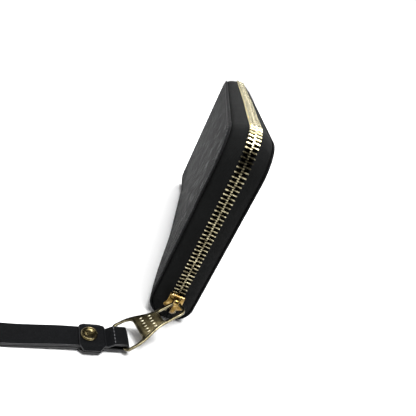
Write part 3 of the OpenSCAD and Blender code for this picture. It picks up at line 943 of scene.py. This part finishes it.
def bridge():
    """The arch over the slider's face, thickest where the pull hangs, with a tongue below the nose."""
    face = SLIDER_HIGH[0]
    out = BRIDGE_HIGH[0] - 0.6
    low, top = BRIDGE_LOW[2], BRIDGE_HIGH[2]
    path = [(face + 0.2, top - 0.65), (face + 1.6, top - 0.6), (out - 0.9, top - 0.75),
            (out - 0.15, top - 1.7), (out, top - 3.2), (out, mix(low, top, 0.5)), (out - 0.1, low + 3.8),
            (out - 0.9, low + 2.2),
            (face + 1.9, low + 1.2), (face + 0.7, low + 0.6), (face + 0.1, low + 0.45)]
    points = [Vector((x, 0, z)) for x, z in path]
    fine = []
    for i in range(len(points) - 1):
        a, b = points[max(0, i - 1)], points[i]
        c, d = points[i + 1], points[min(len(points) - 1, i + 2)]
        for t in (0, 0.25, 0.5, 0.75):
            fine.append(0.5 * ((2 * b) + (c - a) * t + (2 * a - 5 * b + 4 * c - d) * t * t
                               + (3 * b - a - 3 * c + d) * t ** 3))
    fine.append(points[-1])

    def section(t):
        wide = 1.1 + 0.32 * math.exp(-((t - 0.28) / 0.14) ** 2) + 0.35 * smooth((t - 0.75) / 0.25)
        return oval(wide, 0.56 + 0.12 * math.exp(-((t - 0.28) / 0.14) ** 2), 2.4, 20)

    build = Build()
    build.rings(sweep_rings(fine, section, (0, 1, 0)))
    build.piece("slider_arch", GOLD, "zip_slider", "slider_gold", ["slider_bridge"])


# ---- pull ----

PULL_PITCH = math.radians(24.6)
PULL_HEADING = math.radians(49.9)
PULL_BAR = 1.3
PULL_L = 34.55
BAR_U = PULL_L - PULL_BAR
LOOP_HALF = 4.3
NECK_U = 12
SHOULDER_U = 24
WIDE_HALF = 8
LOZENGE_ROWS = [(NECK_U + 4.2, 5), (NECK_U + 8.2, 6)]  # place along the pull, and how many
LOZENGE_PITCH = 1.62
LOZENGE_L = 2.0
LOZENGE_W = 0.72
BAR = Vector(JOINTS["strap_swing"]["pos_m"]) / MM


def pull_matrix():
    """Places the pull's own axes (along, across, up) so that its far bar lies in the strap."""
    turn = Matrix.Rotation(-PULL_HEADING, 4, "Z") @ Matrix.Rotation(PULL_PITCH, 4, "Y")
    start = BAR - turn @ Vector((BAR_U, 0, 0))
    return Matrix.Translation(start) @ turn


def pull_half(u):
    """Half the pull's width, u along it."""
    flare = smooth((u - NECK_U) / (SHOULDER_U + 4 - NECK_U))
    return LOOP_HALF + 0.2 * smooth(u / NECK_U) + (WIDE_HALF - LOOP_HALF - 0.2) * flare


def plate_object(name, loops, thickness, bevel, matrix, material, lift=0.0):
    """A flat plate with windows and rounded edges: the first loop is its outline."""
    curve = bpy.data.curves.new(name, "CURVE")
    curve.dimensions = "2D"
    curve.fill_mode = "BOTH"
    curve.extrude = (thickness / 2 - bevel) * MM
    curve.bevel_depth = bevel * MM
    curve.bevel_resolution = 3
    curve.offset = -bevel * MM
    for loop in loops:
        spline = curve.splines.new("POLY")
        spline.points.add(len(loop) - 1)
        for point, (u, v) in zip(spline.points, loop):
            point.co = (u * MM, v * MM, 0, 1)
        spline.use_cyclic_u = True
    holder = linked(name + "_line", curve)
    graph = bpy.context.evaluated_depsgraph_get()
    mesh = bpy.data.meshes.new_from_object(holder.evaluated_get(graph))
    bpy.data.objects.remove(holder)
    scale = Matrix.Diagonal((MM, MM, MM, 1))
    mesh.transform(scale @ matrix @ Matrix.Translation((0, 0, lift)) @ scale.inverted())
    mesh.name = name
    return finished(mesh, PLATE_ANGLE, [material], PLATE_WELD)


def pull():
    """The pull: a narrow loop through the bridge, a flared plate, and a wide window for the strap."""
    matrix = pull_matrix()
    edge = [(u, pull_half(u)) for u in steps(2.6, PULL_L - 4.4, 26)]
    near = arc_points(-PULL_BAR / 2 + 2.6, LOOP_HALF - 2.6, 2.6, 180, 95, 7)
    far = arc_points(PULL_L - PULL_BAR / 2 - 2.2, WIDE_HALF - 2.2, 2.2, 85, 0, 7)
    half = near + edge + far
    outline = half + [(u, -v) for u, v in reversed(half)]
    loop = LOOP_HALF - PULL_BAR
    small = rounded([(PULL_BAR / 2, loop), (NECK_U - 0.7, loop + 0.05), (NECK_U - 0.7, -loop - 0.05),
                     (PULL_BAR / 2, -loop)], 1.3, 6)
    wide = WIDE_HALF - PULL_BAR
    end = PULL_L - 1.5 * PULL_BAR
    large = rounded([(SHOULDER_U, 5.6), (SHOULDER_U + 3.4, wide), (end, wide), (end, -wide),
                     (SHOULDER_U + 3.4, -wide), (SHOULDER_U, -5.6)], 1.3, 6)
    plate = plate_object("pull_frame", [outline, small, large], PULL_BAR, 0.34, matrix, PALE_GOLD)
    finish_piece(plate, "zip_pull", "pull_bronze", ["pull_plate"])
    field = [(u, pull_half(u) - 1.25) for u in steps(NECK_U + 0.5, SHOULDER_U - 1.0, 10)]
    field = rounded(field + [(u, -v) for u, v in reversed(field)], 0.8, 3)
    for face, word in ((1, "upper"), (-1, "lower")):
        inlay = plate_object(f"pull_{word}_field", [field], 0.3, 0.1, matrix, BRONZE,
                             face * (PULL_BAR / 2 - 0.08))
        finish_piece(inlay, "zip_pull", "pull_bronze")

        def on_face(p, q, h, face=face):
            return matrix @ Vector((p, q, face * (PULL_BAR / 2 + 0.04 + h)))

        build = Build()
        for u, count in LOZENGE_ROWS:
            for k in range(count):
                v = (k - (count - 1) / 2) * LOZENGE_PITCH
                lozenge = [(u - LOZENGE_L / 2, v), (u, v + LOZENGE_W / 2), (u + LOZENGE_L / 2, v),
                           (u, v - LOZENGE_W / 2)]
                build.prism(rounded(lozenge, 0.3, 2), [(0, 0), (0.1, 0), (0.18, 0.12)], on_face)
        build.piece(f"pull_{word}_lozenges", CREAM, "zip_pull", "pull_bronze")


# ---- wrist strap ----

STRAP_HEADING = math.radians(69.8)
STRAP_W = 11
STRAP_T = 1.0
STRAP_L = 146
LOOP_H = 15
KEEPER_S0, KEEPER_S1 = 6.8, 18.4
KEEPER_HALF = 7.6
RIVET_S = 14.2
BAND_END = -4.5
SEAM_S = 2.9  # the row of stitches across the strap
SEAM_PITCH = 1.95
SEAM_STITCH = 1.2
STRAP_Z = 1.3
HUMP_Z = 5.3
KEEPER_TOP_Z = 3.6
PART_S = 95  # where the loop's two runs part
RUN_GAP = 0.12


def strap_place(s, v, z):
    """Row-frame place of a point s along the strap from the pull's bar, v across it and z up."""
    c, d = math.cos(STRAP_HEADING), -math.sin(STRAP_HEADING)
    return BAR[0] + s * c - v * d, BAR[1] + s * d + v * c, z


def lower_z(s):
    """Middle of the lower run."""
    return STRAP_Z * (1 - smooth((s - KEEPER_S1 - 3) / 26)) + STRAP_T / 2


def upper_z(s):
    """Middle of the upper run, which humps over the bar and rises to the loop's open end."""
    flat = STRAP_Z + 2 * STRAP_T + 0.02
    if s < 0:
        top = mix(flat, HUMP_Z, smooth((s + 4.1) / 1.6))
    elif s < KEEPER_S0:
        top = mix(HUMP_Z, lower_z(s) + 1.5 * STRAP_T + RUN_GAP, smooth((s - 2.6) / 3.7))
    else:
        closed = lower_z(s) + 1.5 * STRAP_T + RUN_GAP
        top = mix(closed, LOOP_H, smooth((s - PART_S) / (STRAP_L - LOOP_H / 2 - PART_S)))
    return top - STRAP_T / 2


def strap_line():
    """The strap's middle line (s, z): out along the upper run, round the open end and back below."""
    line = [(s, upper_z(s)) for s in steps(BAND_END, KEEPER_S1, 60)]
    arc_s = STRAP_L - LOOP_H / 2
    line += [(s, upper_z(s)) for s in steps(KEEPER_S1, arc_s, 60)[1:]]
    radius = (LOOP_H - STRAP_T) / 2
    line += arc_points(arc_s, LOOP_H / 2, radius, 90, -90, 20)[1:]
    line += [(s, lower_z(s)) for s in steps(arc_s, BAND_END, 110)[1:]]
    return line


def paint_edges(obj, count, on_edge):
    """Edge paint on both ends and where a column round the section, of count columns, is an edge."""
    for i, polygon in enumerate(obj.data.polygons):
        polygon.material_index = 1 if on_edge(i % count) or len(polygon.vertices) > 4 else 0


def strap():
    """One flat leather band: its two ends are sewn together beyond the pull's bar."""
    line = strap_line()
    half_w, half_t = STRAP_W / 2, STRAP_T / 2 + 0.04
    face = [-half_w + 0.3, -half_w + 0.75, -half_w * 0.5, 0, half_w * 0.5, half_w - 0.75, half_w - 0.3]
    edge = [(half_w - 0.08, 0.62), (half_w, 0.2), (half_w, -0.2), (half_w - 0.08, -0.62)]

    def bow(v):
        return 1 + 0.06 * (1 - (v / half_w) ** 2)

    shape = [(v, half_t * bow(v)) for v in face] + [(v, half_t * h) for v, h in edge]
    shape += [(v, -half_t * bow(v)) for v in reversed(face)] + [(-v, -half_t * h) for v, h in edge]
    rings = []
    for i, (s, z) in enumerate(line):
        before, after = line[max(0, i - 1)], line[min(len(line) - 1, i + 1)]
        along = Vector((after[0] - before[0], after[1] - before[1])).normalized()
        end = min(i, len(line) - 1 - i)
        thin = 1 if end > 2 else (0.45, 0.8, 0.95)[end]
        narrow = 1 if end > 1 else 0.97
        rings.append([strap_place(s - along[1] * h * thin, v * narrow, z + along[0] * h * thin)
                      for v, h in shape])
    build = Build()
    build.rings(rings)
    obj = build.object("wrist_band_leather", [STRAP, EDGE], 60)
    width = len(face)
    paint_edges(obj, len(shape), lambda c: width - 1 <= c <= width + 3 or c >= 2 * width + 3)
    finish_piece(obj, "wrist_strap", "strap_leather", ["strap_band"])
    build = Build()
    for v in (k * SEAM_PITCH for k in range(-2, 3)):
        for top, level in ((1, upper_z(SEAM_S) + half_t), (-1, lower_z(SEAM_S) - half_t)):
            a, b = (strap_place(SEAM_S, v + end * SEAM_STITCH / 2, level + 0.02 * top) for end in (-1, 1))
            add_stitch(build, a, b, (0, 0, top), 0.2)
    build.piece("band_end_stitching", GREY_THREAD, "wrist_strap", "strap_leather")


def keeper(word, base, rise, nodes):
    """A cut leather keeper with chamfered corners; its sides bend to meet the other one."""
    cut = 2.2
    thickness = 0.9
    middle = (KEEPER_S0 + KEEPER_S1) / 2
    columns = steps(-KEEPER_HALF, KEEPER_HALF, 36)

    def reach(v):
        over = max(0.0, abs(v) - (KEEPER_HALF - cut))
        return (KEEPER_S1 - KEEPER_S0) / 2 - over

    def bend(v):
        return rise * smooth((abs(v) - STRAP_W / 2 + 0.5) / 2.6)

    rows = (-1, -0.86, -0.4, 0, 0.4, 0.86, 1)
    build = Build()
    rings = []
    for i, v in enumerate(columns):
        half = reach(v)
        soft = 0.25 if i in (0, len(columns) - 1) else 0
        low, high = base + bend(v) + soft, base + thickness + bend(v) - soft
        ring = [(middle + r * (half - 0.22), high) for r in rows]
        ring += [(middle + half - 0.04, high - 0.2), (middle + half, (low + high) / 2),
                 (middle + half - 0.04, low + 0.2)]
        ring += [(middle + r * (half - 0.22), low) for r in reversed(rows)]
        ring += [(middle - half + 0.04, low + 0.2), (middle - half, (low + high) / 2),
                 (middle - half + 0.04, high - 0.2)]
        rings.append([strap_place(s, v, z) for s, z in ring])
    build.rings(rings)
    obj = build.object(f"keeper_{word}_leather", [STRAP, EDGE], 50)
    paint_edges(obj, len(rings[0]), lambda c: 6 <= c <= 9 or c >= 16)
    finish_piece(obj, "wrist_strap", "strap_leather", nodes)


def lathe(profile, count=40):
    """Rings of a turned shape from (radius, height) pairs."""
    rings = []
    for radius, height in profile:
        rings.append([(radius * math.cos(2 * math.pi * k / count), radius * math.sin(2 * math.pi * k / count),
                       height) for k in range(count)])
    return rings


def rivet():
    """Gold rivet: a dished cap with a bright raised rim, its post, and a flat disc below."""
    top = span("rivet_cap")[1][2]
    base = span("rivet_cap")[0][2]
    tall = top - base
    cap = [(3.35, 0), (3.7, 0.06), (3.8, 0.25), (3.76, 0.5), (3.6, tall * 0.7), (3.4, tall * 0.86),
           (3.2, tall * 0.88), (3.0, tall * 0.8), (2.8, tall * 0.6), (2.4, tall * 0.46), (1.3, tall * 0.38),
           (0.05, tall * 0.36)]
    disc = [(3.2, 0), (3.5, 0.08), (3.6, 0.22), (3.4, 0.38), (1.2, 0.4), (1.2, base + 0.1)]
    for name, profile, foot, material, sharp, node in (
            ("rivet_dished_cap", cap, base, RIVET, 60, "rivet_cap"),
            ("rivet_stem", disc, 0, GOLD, SOFT_ANGLE, "rivet_post")):
        build = Build()
        build.rings([[strap_place(RIVET_S + x, y, foot + z) for x, y, z in ring] for ring in lathe(profile)])
        build.piece(name, material, "wrist_strap", "rivet_gold", [node], sharp)


# ---- interior ----

TROUGH_OUT = 1.25  # the trough lining's two faces, inwards from the leather's outer face
TROUGH_IN = 1.8


def interior_sheets():
    """Boards, linings and card slots of both covers, and the walls of the coin compartment."""
    sheets = [("board", "stiffener", BOARD, "board", 0.1), ("lining", "lining_sheet", LINING, "lining", 0.2),
              ("card_backing", "card_backing_leather", CARD, "card_leather", 0.15)]
    sheets += [(f"card_slot_{n}", f"card_leaf_{n}", CARD, "card_leather", 0.14) for n in range(1, 5)]
    for _, word in SIDES:
        for node, piece, material, slot, bevel in sheets:
            made = settled_copy(f"{word}_{node}", f"{word}_{piece}", material, bevel)
            finish_piece(made, f"{word}_cover", slot)
    finish_piece(settled_copy("coin_base", "coin_floor", CARD, 0.12), "spine", "card_leather")
    for kind, material, slot in (("wall", CARD, "card_leather"), ("tape", CLOTH, "zip_tape")):
        for _, word in SIDES:
            made = settled_copy(f"coin_{kind}_{word}", f"coin_{word}_{kind}", material, 0.12)
            finish_piece(made, "spine", slot)


def spine_linings():
    """Thin leather lining of the trough, which bends with the covers."""
    curve = [spine_curve(s) for s in steps(0, SPINE_FLAT + SPINE_ARC - 1.3, 24)]
    section = [(y - ny * TROUGH_OUT, z - nz * TROUGH_OUT) for y, z, ny, nz in curve]
    section += [(y - ny * TROUGH_IN, z - nz * TROUGH_IN) for y, z, ny, nz in reversed(curve)]
    for side, word in SIDES:
        build = Build()
        build.rings([[settle(x, side * w, z) for w, z in section] for x in steps(-92.4, 92.4, 40)])
        sheet = build.object(f"{word}_trough_lining", [LINING], 50)
        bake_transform(sheet, "spine", f"{word}_cover", start=(0, side * HALF_T * MM, HINGE_LOW * MM),
                 end=(0, side * HALF_T * MM, HINGE_HIGH * MM))
        if word == "front":
            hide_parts("spine_lining")


COIN_PITCH = 2  # each tooth is half as long
PLEAT = [(91.2, 6.0), (83.4, 5.45), (91.0, 4.85), (83.4, 4.2), (91.0, 3.5), (83.4, 2.9), (91.2, 2.35)]


def gussets():
    """Pleated cloth at both ends of each compartment: it unfolds as its cover opens."""
    leaf = 0.11
    line = []
    for a, b in zip(PLEAT, PLEAT[1:]):
        line += [Vector(a).lerp(Vector(b), t) for t in steps(0, 1, 6)[:-1]]
    line.append(Vector(PLEAT[-1]))
    ring, around = cloth_section(line, lambda i: leaf)
    stations = steps(10.4, 88.6, 36)
    for side, word in SIDES:
        for end, where in ((1, "near"), (-1, "far")):
            rings = [[settle(end * (x + 0.25 * math.sin(z / 9) * smooth((91 - x) / 6)), side * y, z)
                      for x, y in ring] for z in stations]
            cloth = strip(f"{word}_{where}_pleats", rings, WEAVE, around, stations, CLOTH)
            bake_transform(cloth, "spine", f"{word}_cover", start=(0, side * 2.1 * MM, 0.05),
                     end=(0, side * 5.6 * MM, 0.05))
            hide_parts(f"gusset_{word}_{where}")


def coin_teeth(side, word):
    """One row of the small zip's teeth, each narrower at its root."""
    (x0, y0, z0), (x1, y1, z1) = span(f"coin_teeth_{word}")
    inner, outer = (y1, y0) if side < 0 else (y0, y1)
    build = Build()
    for n in range(int((x1 - x0) / COIN_PITCH + 0.75)):
        x = x0 + COIN_PITCH * n
        head = rounded([(x + 0.08, inner), (x + 0.92, inner), (x + 0.8, outer), (x + 0.2, outer)], 0.25, 3)
        build.prism(head, soft_levels(z0, z1, 0.16), settle)
    build.piece(f"coin_{word}_chain", BRASS, "spine", "zip_brass", [f"coin_teeth_{word}"], TOOTH_ANGLE)


def coin_slider():
    """The small slider: a flared top plate, a keel below, the post between them and an arch for the pull."""
    (x0, y0, z0), (x1, y1, z1) = span("coin_slider_body")
    plate_z = z1 - 2.9
    top = rounded([(x0, -1.9), (x0 + 2.4, y0), (x1 - 0.6, y0), (x1, -1.5), (x1, 1.5), (x1 - 0.6, y1),
                   (x0 + 2.4, y1), (x0, 1.9)], 0.6)
    keel = rectangle(x0, -1.1, x1, 1.1, 0.4)
    post = rectangle(x0 + 1, -0.33, x0 + 3, 0.33, 0.15)
    arch = [(x0 + 1.4, plate_z + 0.4), (x0 + 1.45, z1 - 1.3), (x0 + 1.9, z1 - 0.5), (x0 + 3.5, z1 - 0.38),
            (x1 - 1.9, z1 - 0.5), (x1 - 1.45, z1 - 1.3), (x1 - 1.4, plate_z + 0.4)]
    build = Build()
    for outline, levels in ((top, soft_levels(plate_z, plate_z + 0.62, 0.2)),
                            (keel, soft_levels(z0, z0 + 0.55, 0.15)),
                            (post, [(z0 + 0.4, 0), (plate_z + 0.2, 0)])):
        build.prism(outline, levels, lambda u, v, h: (u, v, h))
    build.rings(sweep_rings([(x, 0, z) for x, z in arch], lambda t: oval(0.65, 0.36), (0, 1, 0)))
    build.piece("coin_slider_casting", GOLD, "coin_slider", "slider_gold", ["coin_slider_body"])


def coin_pull():
    """The small flat pull, with a window for the arch."""
    (x0, _, z0), (x1, _, z1) = span("coin_pull")
    outline = rounded([(x1, -1.85), (x1, 1.85), (x0 + 3, 2.4), (x0, 1.2), (x0, -1.2), (x0 + 3, -2.4)], 0.8)
    window = rectangle(x1 - 4, -0.95, x1 - 1.1, 0.95, 0.4)
    tab = plate_object("coin_pull_tab", [outline, window], z1 - z0, 0.2, Matrix.Identity(4), GOLD,
                       (z0 + z1) / 2)
    finish_piece(tab, "coin_pull", "slider_gold", ["coin_pull"])


def coin_zip():
    """The small zip over the coin compartment."""
    for side, word in SIDES:
        coin_teeth(side, word)
    coin_slider()
    coin_pull()


def card_stitching():
    """Thread up the middle and both sides of each set of card leaves, and along the coin walls' tops."""
    for side, word in SIDES:
        build = Build()
        for n in range(1, 5):
            low, high = span(f"{word}_card_slot_{n}")
            below = span(f"{word}_card_slot_{n + 1}")[1][2] if n < 4 else low[2] + 1
            depth = min(abs(low[1]), abs(high[1])) - 0.02
            for x in (-78.6, -1.1, 1.1, 78.6):
                def place(a, aside, x=x, depth=depth):
                    return settle(x + aside, side * depth, a), (0, -side, 0)

                stitched_line(build, place, below + 0.6, high[2] - 0.9, 2.6, 0.17)
        build.piece(f"{word}_card_stitching", THREAD, f"{word}_cover", "card_leather")
    build = Build()
    for side, word in SIDES:
        low, high = span(f"coin_wall_{word}")
        depth = max(abs(low[1]), abs(high[1])) + 0.02

        def along_wall(a, aside, side=side, depth=depth, top=high[2]):
            return settle(a, side * depth, top - 2.2 + aside), (0, side, 0)

        stitched_line(build, along_wall, low[0] + 3, high[0] - 3, 3, 0.17)
    build.piece("coin_wall_stitching", THREAD, "spine", "card_leather")


PARTS = [covers, cover_stitching, zip_tapes, zip_chain, zip_stops, slider, bridge, pull, strap,
         interior_sheets, spine_linings, gussets, coin_zip, card_stitching, rivet]
for part in PARTS:
    part()
keeper("upper", KEEPER_TOP_Z, -1.15, ["keeper_top"])
keeper("lower", 0.4, 1.1, ["keeper_bottom"])


# ---- studio ----

FLOOR_REACH = 900
SENSOR_W = 36
FIELD = 1.04  # the view's width at a distance of 1


def studio():
    """Pale floor, surroundings that are white at the horizon and dim above, and large soft lamps."""
    build = Build()
    build.add([(x, y, 0) for x, y in arc_points(0, 0, FLOOR_REACH, 0, 360, 96)[:-1]], [list(range(96))])
    floor = build.object("floor", [floor_material()])
    world = bpy.data.worlds.new("studio_surroundings")
    bpy.context.scene.world = world
    world.use_nodes = True
    tree = world.node_tree
    up = add(tree, "SeparateXYZ", {0: add(tree, "TexCoord").outputs["Generated"]}).outputs[2]
    colour = ramp(tree, up, [(0.2, (1, 1, 1)), (0.36, (0.06, 0.062, 0.066)), (0.8, (0.12, 0.12, 0.12))])
    back = tree.nodes["Background"]
    tree.links.new(colour, back.inputs["Color"])
    back.inputs["Strength"].default_value = 1.05
    for name, place, aim, size, power in (
            ("overhead_lamp", (0.05, 0.15, 2.2), (0, 0, 0), 1.5, 108),
            ("rim_lamp", (-0.75, 0.25, 0.7), (0, 0, 0.1), 0.35, 6),
            ("key_lamp", (0.3, -0.6, 0.9), (0.05, -0.02, 0.05), 0.3, 1.5)):
        lamp = bpy.data.lights.new(name, "AREA")
        lamp.size = size
        lamp.energy = power
        holder = bpy.data.objects.new(name, lamp)
        holder.location = place
        holder.rotation_mode = "QUATERNION"
        holder.rotation_quaternion = (Vector(aim) - Vector(place)).to_track_quat("-Z", "Y")
        bpy.context.scene.collection.objects.link(holder)
    bpy.context.scene.view_settings.view_transform = "Standard"


def camera():
    """The photograph's viewing angle: from beyond the slider's end, above, and rolled."""
    place = Vector((262.3, -34.25, 140.33)) * MM
    forward = Vector((-0.9082, 0.1539, -0.3892)).normalized()
    up = Vector((-0.4179, -0.3854, 0.8227))
    right = forward.cross(up).normalized()
    up = right.cross(forward)
    data = bpy.data.cameras.new("camera")
    data.sensor_width = SENSOR_W
    data.lens = SENSOR_W / FIELD
    data.clip_start = 0.01
    holder = bpy.data.objects.new("camera", data)
    turn = Matrix((right, up, -forward)).transposed().to_4x4()
    holder.matrix_world = Matrix.Translation(place) @ turn
    bpy.context.scene.collection.objects.link(holder)
    bpy.context.scene.camera = holder


studio()
camera()
